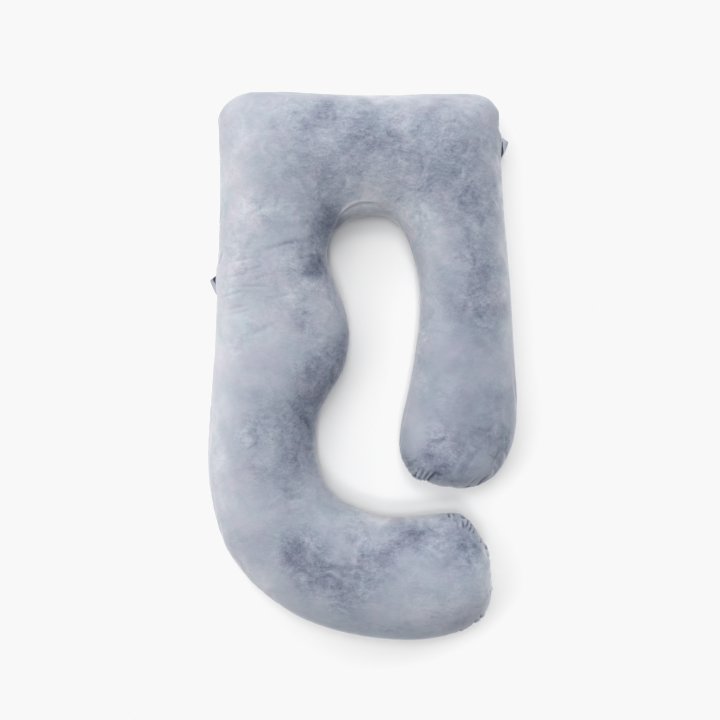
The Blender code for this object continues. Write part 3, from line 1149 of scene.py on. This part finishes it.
@dataclass(frozen=True)
class Filling:
    """Fills the cover: it is blown up as cloth, held at its seam and where it lies on the floor."""

    grid: CoverGrid = CoverGrid(380, 50, 32)
    pressure: float = 4.0
    last_frame: int = 20
    stiffness: float = 15.0
    bending: float = 0.5
    cloth_weight: float = 0.3
    solver_steps: int = 5
    on_floor: float = 1e-5
    calm_levels: int = 20
    calm_stretch: float = 0.004
    loose_stretch: float = -0.045
    swell_passes: int = 60
    swell_share: float = 0.25
    most_travel: float = 0.010

    def swelling(self, body: FilledBody, cover_grid: CoverGrid) -> np.ndarray:
        """Return how far filling moves each point of the cover's own, finer grid."""
        return self.spread(self.held_back(self.blown_up(self.grid.over(body))), cover_grid)

    def slack_at(self, points: np.ndarray) -> np.ndarray:
        """Return how loosely the cover is cut at each point, from 0 to 1."""
        loose = np.zeros(points.shape[:-1])
        for patch in SLACKS:
            away = np.hypot((points[..., 0] - patch.x) / patch.reach_x, (points[..., 1] - patch.y) / patch.reach_y)
            loose = np.maximum(loose, patch.amount * (1 - ramp(away)))
        return loose

    def blown_up(self, start: np.ndarray) -> np.ndarray:
        """Blow the cloth grid up under pressure.

        Args:
            start: The grid's points before that.

        Returns:
            How far each of them moves.
        """
        cloth = placed("cloth_trial", ring_mesh("cloth_trial", start))
        scene = bpy.context.scene
        place = np.arange(start.shape[1])
        on_seam = np.broadcast_to((place == 0) | (place == self.grid.top_spans), start.shape[:2])
        held = np.flatnonzero((on_seam | (start[..., 2] < self.on_floor)).ravel()).tolist()
        tips = [start[..., 0].size, start[..., 0].size + 1]
        cloth.vertex_groups.new(name="held").add(held + tips, 1.0, "REPLACE")
        calm = cloth.vertex_groups.new(name="calm")
        calmness = np.round((1 - self.slack_at(start)).ravel() * self.calm_levels).astype(int)
        for level in range(1, self.calm_levels + 1):
            calm.add(np.flatnonzero(calmness == level).tolist(), level / self.calm_levels, "REPLACE")
        modifier = cloth.modifiers.new("Cloth", "CLOTH")
        modifier.settings.effector_weights.gravity = 0
        modifier.collision_settings.use_collision = False
        wanted = {
            "use_pressure": True,
            "uniform_pressure_force": self.pressure,
            "vertex_group_mass": "held",
            "pin_stiffness": 1.0,
            "vertex_group_shrink": "calm",
            "shrink_min": self.loose_stretch,
            "shrink_max": self.calm_stretch,
            "quality": self.solver_steps,
            "tension_stiffness": self.stiffness,
            "compression_stiffness": self.stiffness,
            "bending_stiffness": self.bending,
            "mass": self.cloth_weight,
        }
        for label, value in wanted.items():
            setattr(modifier.settings, label, value)
        for timeline in (scene, modifier.point_cache):
            timeline.frame_start = 1
            timeline.frame_end = self.last_frame
        for frame_number in range(1, self.last_frame + 1):
            scene.frame_set(frame_number)
        blown = cloth.evaluated_get(bpy.context.evaluated_depsgraph_get()).to_mesh()
        after = np.empty(len(blown.vertices) * 3, dtype=np.float32)
        blown.vertices.foreach_get("co", after)
        travel = after.reshape(-1, 3)[:-2].reshape(start.shape) - start
        bpy.data.objects.remove(cloth, do_unlink=True)
        scene.frame_set(1)
        return travel

    def held_back(self, travel: np.ndarray) -> np.ndarray:
        """Keep the wrinkles of a blown-up cloth and only a share of its swelling, within the cap."""
        swell = soften(travel, self.swell_passes)
        kept = travel - swell * (1 - self.swell_share)
        length = np.maximum(np.linalg.norm(kept, axis=2, keepdims=True), TINY)
        return kept * np.tanh(length / self.most_travel) * self.most_travel / length

    def spread(self, travel: np.ndarray, finer: CoverGrid) -> np.ndarray:
        """Spread what the cloth grid did over a finer grid."""
        along = np.linspace(0, self.grid.rings - 1, finer.rings)
        top = np.arange(finer.top_spans) * self.grid.top_spans / finer.top_spans
        bottom = np.arange(finer.bottom_spans) * self.grid.bottom_spans / finer.bottom_spans
        around = np.concatenate([top, self.grid.top_spans + bottom])
        by_ring = resample(travel, along, wraps=False)
        return resample(by_ring.transpose(1, 0, 2), around, wraps=True).transpose(1, 0, 2)


@dataclass(frozen=True)
class SideSeam:
    """The seam that joins both panels, the puckers beside it, and the gathers round the two arm ends, with a painted
    highlight along the seam, painted shade under it and painted sheen along both rims.
    """

    depth: float = 0.0022
    width: float = 0.0045
    pucker_height: float = 0.0004
    pucker_reach: float = 0.020
    pucker_start: float = 0.006
    pucker_lengths: tuple = (0.011, 0.017, 0.027, 0.041)
    drift_per_metre: int = 10
    most_drift: float = 2.0
    gather_height: float = 0.0022
    gather_zone: float = 0.150
    painted_seam_highlight: float = 0.10
    painted_seam_highlight_width: float = 0.004
    painted_under_seam_shade: float = 0.07
    painted_under_seam_shade_width: float = 0.006
    painted_rim_sheen: float = 0.16
    painted_inner_rim_light: float = 0.06
    painted_rim_reach: float = 0.022
    outer_seed: int = 3
    inner_seed: int = 8

    def measured(self, points: np.ndarray, seam_place: int) -> tuple:
        """Measure a seam line and how far every point of the cover is from it round its section.

        Args:
            points: The cover's grid.
            seam_place: The seam's place in each ring.

        Returns:
            Distance along the seam for each ring, and distance from the seam for each point.
        """
        turned = np.roll(points, -seam_place, axis=1)
        steps = np.linalg.norm(np.diff(turned, axis=1, append=turned[:, :1]), axis=2)
        one_way = np.cumsum(np.pad(steps, ((0, 0), (1, 0))), axis=1)[:, :-1]
        girth = steps.sum(axis=1, keepdims=True)
        away = np.roll(np.minimum(one_way, girth - one_way), seam_place, axis=1)
        seam = points[:, seam_place]
        along = np.concatenate([[0], np.cumsum(np.linalg.norm(np.diff(seam, axis=0), axis=1))])
        return along, away

    def puckers(self, along: np.ndarray, seed: int) -> np.ndarray:
        """Return the height of the puckers at each distance along a seam, in waves of several lengths."""
        dice = np.random.default_rng(seed)
        wave = np.zeros(len(along))
        knots = np.arange(0, along[-1] + 2 / self.drift_per_metre, 1 / self.drift_per_metre)
        for length in self.pucker_lengths:
            drifts = dice.uniform(-self.most_drift, self.most_drift, int(along[-1] * self.drift_per_metre) + 3)
            drift = np.interp(along, knots, drifts[: len(knots)])
            wave += np.sin(2 * math.pi * along / length + drift) * length / self.pucker_lengths[-1]
        gathered = 1 - ramp(np.minimum(along, along[-1] - along) / self.gather_zone)
        return (self.pucker_height + (self.gather_height - self.pucker_height) * gathered) * wave / 2

    def sew(self, points: np.ndarray, painted_light: np.ndarray, top_spans: int) -> np.ndarray:
        """Draw both panels into the seam and pucker the cloth beside it, painting a highlight along the seam, shade
        under it and sheen along the rims.

        Args:
            points: The cover's grid.
            painted_light: The light and shade painted at each point, paler above 0, which is changed in place.
            top_spans: Spans across the top panel.

        Returns:
            The sewn grid.
        """
        normal = ring_normals(points)
        rise = np.zeros(points.shape[:2])
        for seam_place, seed, pale in (
            (0, self.outer_seed, self.painted_rim_sheen), (top_spans, self.inner_seed, self.painted_inner_rim_light),
        ):
            along, away = self.measured(points, seam_place)
            beside = np.exp(-away / self.pucker_reach) * ramp(away / self.pucker_start)
            rise += self.puckers(along, seed)[:, None] * beside
            rise -= self.depth * np.exp(-(away / self.width) ** 2)
            # Paint a highlight along the seam on the top panel, and shade under the seam on the bottom panel.
            seam_highlight_line = self.painted_seam_highlight * np.exp(-(away / self.painted_seam_highlight_width) ** 2)
            under_seam_shade_line = self.painted_under_seam_shade * np.exp(-(away / self.painted_under_seam_shade_width) ** 2)
            painted_light[:, :top_spans] += seam_highlight_line[:, :top_spans]
            painted_light[:, top_spans:] -= under_seam_shade_line[:, top_spans:]
            # Paint sheen along the outer rim, and light along the inner rim, which the lamps leave in shade, fading
            # away from the seam.
            painted_light += pale * np.exp(-away / self.painted_rim_reach)
        return points + normal * rise[..., None]


@dataclass(frozen=True)
class FoldPress:
    """Presses the table's folds into the cover, and paints light and shade along them: painted shade in the trough,
    painted light on the flank beside it that faces the light.

    Widths, reaches and the place of the lit flank are in widths of the fold.
    """

    steps: int = 25
    reach: float = 5.0
    margin: float = 0.004
    end: float = 0.04
    fade: float = 0.7
    lip_share: float = 0.3
    lip_width: float = 2.2
    side_stretch: float = 1.8
    lift_passes: int = 4
    below_seam: float = 0.024
    below_steps: int = 8
    trough_shade_by_slope: float = 1.1
    most_trough_shade: float = 0.30
    lit_flank_way: tuple = (0.6, -0.8)
    lit_flank_from: float = 1.7
    lit_flank_width: float = 0.9
    lit_flank_reach: float = 2.6
    lit_flank_share: float = 0.6

    def lifted(self, line: np.ndarray, near: np.ndarray, reach: Reach) -> np.ndarray:
        """Lift a fold's line onto the top panel, and run it down past the seam where the fold crosses it.

        Args:
            line: Points along the fold, seen from above.
            near: The top panel's points round about.
            reach: Where the fold lies.

        Returns:
            Points along the fold in space.
        """
        closest = np.linalg.norm(line[:, None] - near[None, :, :2], axis=2).argmin(axis=1)
        height = near[closest, 2]
        for _ in range(self.lift_passes):
            height = np.convolve(np.pad(height, 1, mode="edge"), (0.25, 0.5, 0.25), mode="valid")
        lifted = np.column_stack([line, height])
        if reach is not Reach.OVER_SEAM:
            return lifted
        if height[0] < height[-1]:
            lifted = lifted[::-1]
        drop = np.linspace(0, self.below_seam, self.below_steps)[1:, None] * np.array([[0, 0, 1]])
        return np.concatenate([lifted, lifted[-1:] - drop])

    def press(self, points: np.ndarray, painted_light: np.ndarray, top_spans: int) -> np.ndarray:
        """Press each fold into the cover.

        Args:
            points: The cover's grid.
            painted_light: The light and shade painted at each point, paler above 0, which is changed in place.
            top_spans: Spans across the top panel.

        Returns:
            The folded grid.
        """
        normal = ring_normals(points)
        rise = np.zeros(points.shape[:2])
        on_top = np.zeros(points.shape[:2], dtype=bool)
        on_top[:, : top_spans + 1] = True
        for fold in FOLDS:
            line = fold.line(self.steps)
            span = fold.width * self.reach
            low, high = line.min(axis=0) - span - self.margin, line.max(axis=0) + span + self.margin
            near = ((points[..., :2] > low) & (points[..., :2] < high)).all(axis=2)
            line = self.lifted(line, points[near & on_top], fold.reach)
            near &= points[..., 2] > line[:, 2].min() - span * self.side_stretch
            if fold.reach is Reach.TOP_PANEL:
                near &= on_top
            offset = points[near][:, None] - line[None]
            gap = np.linalg.norm(offset * (1, 1, 1 / self.side_stretch), axis=2)
            closest = gap.argmin(axis=1)
            away = gap.min(axis=1) / fold.width
            share = self.end + (1 - 2 * self.end) * closest / (len(line) - 1)
            taper = np.sin(math.pi * share) ** self.fade
            trough, lips = np.exp(-away ** 2), np.exp(-(away / self.lip_width) ** 2)
            rise[near] -= fold.depth * taper * ((1 + self.lip_share) * trough - self.lip_share * lips)
            beside = offset[np.arange(len(closest)), closest, :2] @ np.array(self.lit_flank_way) / fold.width
            lit_flank = np.exp(-((beside - self.lit_flank_from) / self.lit_flank_width) ** 2)
            lit_flank *= np.exp(-(away / self.lit_flank_reach) ** 2)
            # Paint shade in the trough, the darker the steeper the fold, and light on the flank that faces the light,
            # with the fold's own shade added.
            tone = self.most_trough_shade * math.tanh(self.trough_shade_by_slope * fold.depth / fold.width)
            painted_light[near] -= taper * ((tone - fold.shade) * trough - self.lit_flank_share * tone * lit_flank)
        return points + normal * rise[..., None]


@dataclass(frozen=True)
class PileToneAndLight:
    """How the pile lies over the cover, with painted light and shade: the sum of the strokes, which paint both, with
    the light and shade painted along the seam and folds.
    """

    even_lay: float = 0.563
    smoothest: float = 0.08
    longest_rub: float = 0.25
    ruffle_by_tone: float = 5.0
    wave: float = 0.11
    waver: float = 0.014
    wave_octaves: int = 4
    seed: int = 5

    def wavered(self, points: np.ndarray) -> np.ndarray:
        """Return each point's x and y pushed about along a few long waves, so that the strokes get an uneven edge."""
        dice = np.random.default_rng(self.seed)
        moved = points[..., :2].copy()
        for octave in range(1, self.wave_octaves + 1):
            for axis in (0, 1):
                heading = dice.uniform(0, 2 * math.pi)
                phase = dice.uniform(0, 2 * math.pi)
                ahead = math.cos(heading) * points[..., 0] + math.sin(heading) * points[..., 1]
                swing = np.sin(2 * math.pi * octave / self.wave * ahead + phase)
                moved[..., axis] += self.waver / 2 * swing / octave
        return moved

    def store(self, mesh: bpy.types.Mesh, points: np.ndarray, painted_light: np.ndarray, finish: VelvetFinish) -> None:
        """Store on a mesh how light its pile lies, with the painted light and shade, and how ruffled it lies.

        Args:
            mesh: The cover's mesh.
            points: The cover's grid.
            painted_light: The light and shade painted at each point along the seam and the folds, paler above 0.
            finish: The velvet that reads what is stored.
        """
        plan = self.wavered(points)
        lay = painted_light + self.even_lay
        ruffle = np.full(points.shape[:2], finish.least_ruffle)
        for stroke in PILE_AND_LIGHT_STROKES:
            away = plan - (stroke.x, stroke.y)
            turn = math.radians(stroke.turn)
            along = (away[..., 0] * math.cos(turn) + away[..., 1] * math.sin(turn)) / (stroke.length / 2)
            across = (away[..., 1] * math.cos(turn) - away[..., 0] * math.sin(turn)) / (stroke.width / 2)
            weight = np.exp(-(along ** 2 + across ** 2))
            lay += stroke.tone * weight
            rub = abs(stroke.tone) * self.ruffle_by_tone if stroke.length < self.longest_rub else 0.0
            ruffle += (rub + stroke.rub) * weight
        store(mesh, finish.lay_and_light_attribute, lay)
        store(mesh, finish.ruffle_attribute, np.clip(ruffle, self.smoothest, 1.0))


@dataclass
class VelvetCover:
    """The sewn cover, filled: a top and a bottom panel joined by one seam all round the edge."""

    name: str = "velvet_cover"
    grid: CoverGrid = CoverGrid(840, 86, 32)
    body: FilledBody = field(default_factory=FilledBody)
    filling: Filling = field(default_factory=Filling)
    seam: SideSeam = field(default_factory=SideSeam)
    folds: FoldPress = field(default_factory=FoldPress)
    pile: PileToneAndLight = field(default_factory=PileToneAndLight)
    finish: VelvetFinish = field(default_factory=VelvetFinish)

    def build(self) -> bpy.types.Object:
        """Returns:
            The cover's object.
        """
        points = self.grid.over(self.body)
        points = points + self.filling.swelling(self.body, self.grid)
        # The light and shade painted along the seam and the folds.
        painted_light = np.zeros(points.shape[:2])
        points = self.seam.sew(points, painted_light, self.grid.top_spans)
        points = self.folds.press(points, painted_light, self.grid.top_spans)
        points[..., 2] = np.maximum(points[..., 2], 0.0)
        mesh = ring_mesh(self.name, points)
        mesh.shade_smooth()
        self.pile.store(mesh, points, painted_light, self.finish)
        mesh.materials.append(self.finish.material())
        cover = placed(self.name, mesh)
        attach(cover, ROOT_BODY)
        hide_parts("pillow")
        log.info("%s: %d triangles", self.name, sum(len(face.vertices) - 2 for face in mesh.polygons))
        return cover


@dataclass
class StripLoop:
    """A loop of velvet strip folded in two along its length, both ends caught in the side seam.

    The fold is the loop's outer edge. The upper leaf leans over towards the pillow, far over at one end and less at
    the other, and the lower leaf lies flat under it. Their inner faces part a few points in from the fold, and are
    painted dark as the shade inside the fold. Leans are in degrees from upright.
    """

    name: str
    node: str
    side: Side
    head_y: float
    foot_y: float
    root_x: float
    lean_at_head: float
    lean_at_foot: float
    lean_turn: float
    belly: float
    leaf: float
    kink: float = 0.22
    stand_off: float = 0.0205
    tip_sharpness: float = 9.0
    lower_leaf: float = 0.0215
    thickness: float = 0.0022
    fold_height: float = 0.083
    fold_waver: float = 0.0012
    wavers: float = 9.0
    tuck: float = 0.005
    tuck_power: int = 4
    end_gap: float = 0.004
    round_share: float = 0.8
    lower_lean: float = 97.0
    steps: int = 64
    leaf_points: int = 12
    joined_points: int = 2
    lay: float = 0.66
    inner_painted_shade: float = 0.05
    finish: VelvetFinish = field(default_factory=VelvetFinish)

    def build(self) -> bpy.types.Object:
        """Returns:
            The loop's object.
        """
        points, inside = self.ribbon()
        mesh = ring_mesh(self.name, points)
        mesh.shade_smooth()
        # The inner faces are painted dark as the shade inside the fold.
        lay = np.broadcast_to(np.where(inside, self.inner_painted_shade, self.lay), points.shape[:2])
        store(mesh, self.finish.lay_and_light_attribute, lay)
        store(mesh, self.finish.ruffle_attribute, np.full(points.shape[:2], self.finish.least_ruffle))
        mesh.materials.append(self.finish.material())
        loop = placed(self.name, mesh)
        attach(loop, ROOT_BODY)
        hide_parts(self.node)
        log.info("%s: strip %.0f mm long", self.name, self.run_length() * MM)
        return loop

    def route(self) -> np.ndarray:
        """Return the strip's folded edge, from its head end out to the tip and back to its foot end."""
        share = np.linspace(self.end_gap, 1 - self.end_gap, self.steps)
        out_leg, back_leg = share / self.kink, ((1 - share) / (1 - self.kink)) ** self.belly
        out = (out_leg ** -self.tip_sharpness + back_leg ** -self.tip_sharpness) ** (-1 / self.tip_sharpness)
        x = self.root_x + self.side.value * (out * self.stand_off - self.tuck * (1 - out) ** self.tuck_power)
        y = self.head_y + (self.foot_y - self.head_y) * share
        z = self.fold_height + self.fold_waver * np.sin(share * self.wavers)
        return np.stack([x, y, z], axis=1)

    def run_length(self) -> float:
        """Return the strip's length along its folded edge."""
        return float(np.linalg.norm(np.diff(self.route(), axis=0), axis=1).sum())

    def ribbon(self) -> tuple:
        """Return rings of points round both leaves along the route, and which of each ring are on their inner faces."""
        route = self.route()
        share = np.linspace(0, 1, self.steps)
        turned = ramp(share * self.lean_turn)
        upper = np.radians(self.lean_at_head + (self.lean_at_foot - self.lean_at_head) * turned)
        lower = np.full(self.steps, math.radians(self.lower_lean))
        half = self.thickness / 2
        outlines = []
        for lean, leaf, leaf_side in ((upper, self.leaf, 1), (lower, self.lower_leaf, -1)):
            run = np.linspace(0, leaf, self.leaf_points)
            along = np.stack([-self.side.value * np.sin(lean), np.zeros(self.steps), np.cos(lean)], axis=1)
            off = np.stack([self.side.value * np.cos(lean), np.zeros(self.steps), np.sin(lean)], axis=1) * leaf_side
            spine = route[:, None] + along[:, None] * run[None, :, None]
            start = spine[:, :1] - along[:, None] * half * self.round_share
            end = spine[:, -1:] + along[:, None] * half
            outer = np.concatenate([start, spine[:, 1:] + off[:, None] * half, end], axis=1)
            inner = spine[:, : self.joined_points : -1] - off[:, None] * half
            outlines.append((outer, inner))
        (top_outer, top_inner), (low_outer, low_inner) = outlines
        ring = np.concatenate([top_outer, top_inner, low_inner[:, ::-1], low_outer[:, ::-1]], axis=1)
        inside = np.zeros(ring.shape[1], dtype=bool)
        inside[top_outer.shape[1] : top_outer.shape[1] + 2 * top_inner.shape[1]] = True
        if self.side is Side.RIGHT:
            return ring[:, ::-1], inside[::-1]
        return ring, inside


@dataclass(frozen=True)
class SoftLight:
    """A wide soft light that stands far off: where it comes from and how bright it is."""

    name: str
    azimuth: float
    elevation: float
    energy: float
    width: float = 40.0


SOFT_LIGHTS = (
    SoftLight("low_light_right", 45.0, 20.0, 1.05),
    SoftLight("low_light_left", 135.0, 20.0, 0.62),
    SoftLight("window_light_low", 180.0, 20.0, 0.35),
    SoftLight("window_light_high", 180.0, 45.0, 0.66),
    SoftLight("head_light", 90.0, 45.0, 0.60),
    SoftLight("top_light_left", 135.0, 70.0, 0.79),
    SoftLight("overhead_light", 0.0, 90.0, 0.48, 12.0),
    SoftLight("top_light_head", 90.0, 70.0, 0.37, 12.0),
    SoftLight("top_light_foot", 270.0, 70.0, 0.51, 12.0),
)


@dataclass
class Studio:
    """A white floor under wide soft lights, most of them from the left and the head end, seen from straight above."""

    floor_size: float = 60.0
    camera_place: tuple = (-0.0064, 0.0146, 3.2)
    lens: float = 58.8
    sky: float = 0.05
    paper_white: float = 0.939
    floor: FloorFinish = field(default_factory=FloorFinish)

    def build(self) -> None:
        """Make the floor, the lights and the camera."""
        self.lay_floor()
        for light in SOFT_LIGHTS:
            self.hang(light)
        self.fill_with_light()
        self.set_camera()
        self.set_film()

    def lay_floor(self) -> None:
        """Lay the floor under the pillow."""
        mesh = bpy.data.meshes.new("floor")
        half = self.floor_size / 2
        corners = [(-half, -half, 0), (half, -half, 0), (half, half, 0), (-half, half, 0)]
        mesh.from_pydata(corners, [], [(0, 1, 2, 3)])
        mesh.materials.append(self.floor.material())
        floor = placed("floor", mesh)

    def hang(self, soft: SoftLight) -> None:
        """Hang one soft light as a wide sun."""
        light = bpy.data.lights.new(soft.name, "SUN")
        light.energy = soft.energy
        light.angle = math.radians(soft.width)
        azimuth, elevation = math.radians(soft.azimuth), math.radians(soft.elevation)
        level = math.cos(elevation)
        source = Vector((math.cos(azimuth) * level, math.sin(azimuth) * level, math.sin(elevation)))
        placed(soft.name, light).rotation_euler = source.to_track_quat("Z", "Y").to_euler()

    def fill_with_light(self) -> None:
        """Light the room faintly from all round, behind a far wall that looks as white as the floor."""
        world = bpy.data.worlds.new("studio")
        world.use_nodes = True
        nodes, links = world.node_tree.nodes, world.node_tree.links
        nodes["Background"].inputs["Color"].default_value = (1.0, 1.0, 1.0, 1.0)
        seen = nodes.new("ShaderNodeLightPath")
        strength = nodes.new("ShaderNodeMapRange")
        strength.inputs["To Min"].default_value = self.sky
        links.new(seen.outputs["Is Camera Ray"], strength.inputs["Value"])
        links.new(strength.outputs["Result"], nodes["Background"].inputs["Strength"])
        bpy.context.scene.world = world

    def set_camera(self) -> None:
        """Put the camera straight above the pillow, its head end up."""
        camera = bpy.data.cameras.new("camera")
        camera.lens = self.lens
        eye = placed("camera", camera)
        eye.location = self.camera_place
        bpy.context.scene.camera = eye

    def set_film(self) -> None:
        """Expose so that the bare floor just reaches paper white, and nothing goes past it."""
        film = bpy.context.scene.view_settings
        film.view_transform = "Standard"
        film.use_curve_mapping = True
        *_, combined = film.curve_mapping.curves
        combined.points[-1].location = (1.0, self.paper_white)
        combined.points.new(self.paper_white, self.paper_white)
        for point in combined.points:
            point.handle_type = "VECTOR"
        film.curve_mapping.update()


STRIP_LOOPS = (
    StripLoop(
        name="strip_loop_right", node="tab_right", side=Side.RIGHT, head_y=0.606, foot_y=0.543, root_x=0.3660,
        lean_at_head=80.0, lean_at_foot=6.0, lean_turn=1.2, belly=0.75, leaf=0.0160,
    ),
    StripLoop(
        name="strip_loop_left", node="tab_left", side=Side.LEFT, head_y=0.240, foot_y=0.180, root_x=-0.3835,
        lean_at_head=5.0, lean_at_foot=50.0, lean_turn=2.6, belly=0.85, leaf=0.0135,
    ),
)


def main() -> None:
    """Build the pillow's cover and strip loops in their studio."""
    logging.basicConfig(level=logging.INFO)
    Studio().build()
    VelvetCover().build()
    for loop in STRIP_LOOPS:
        loop.build()


if __name__ == "__main__":
    main()
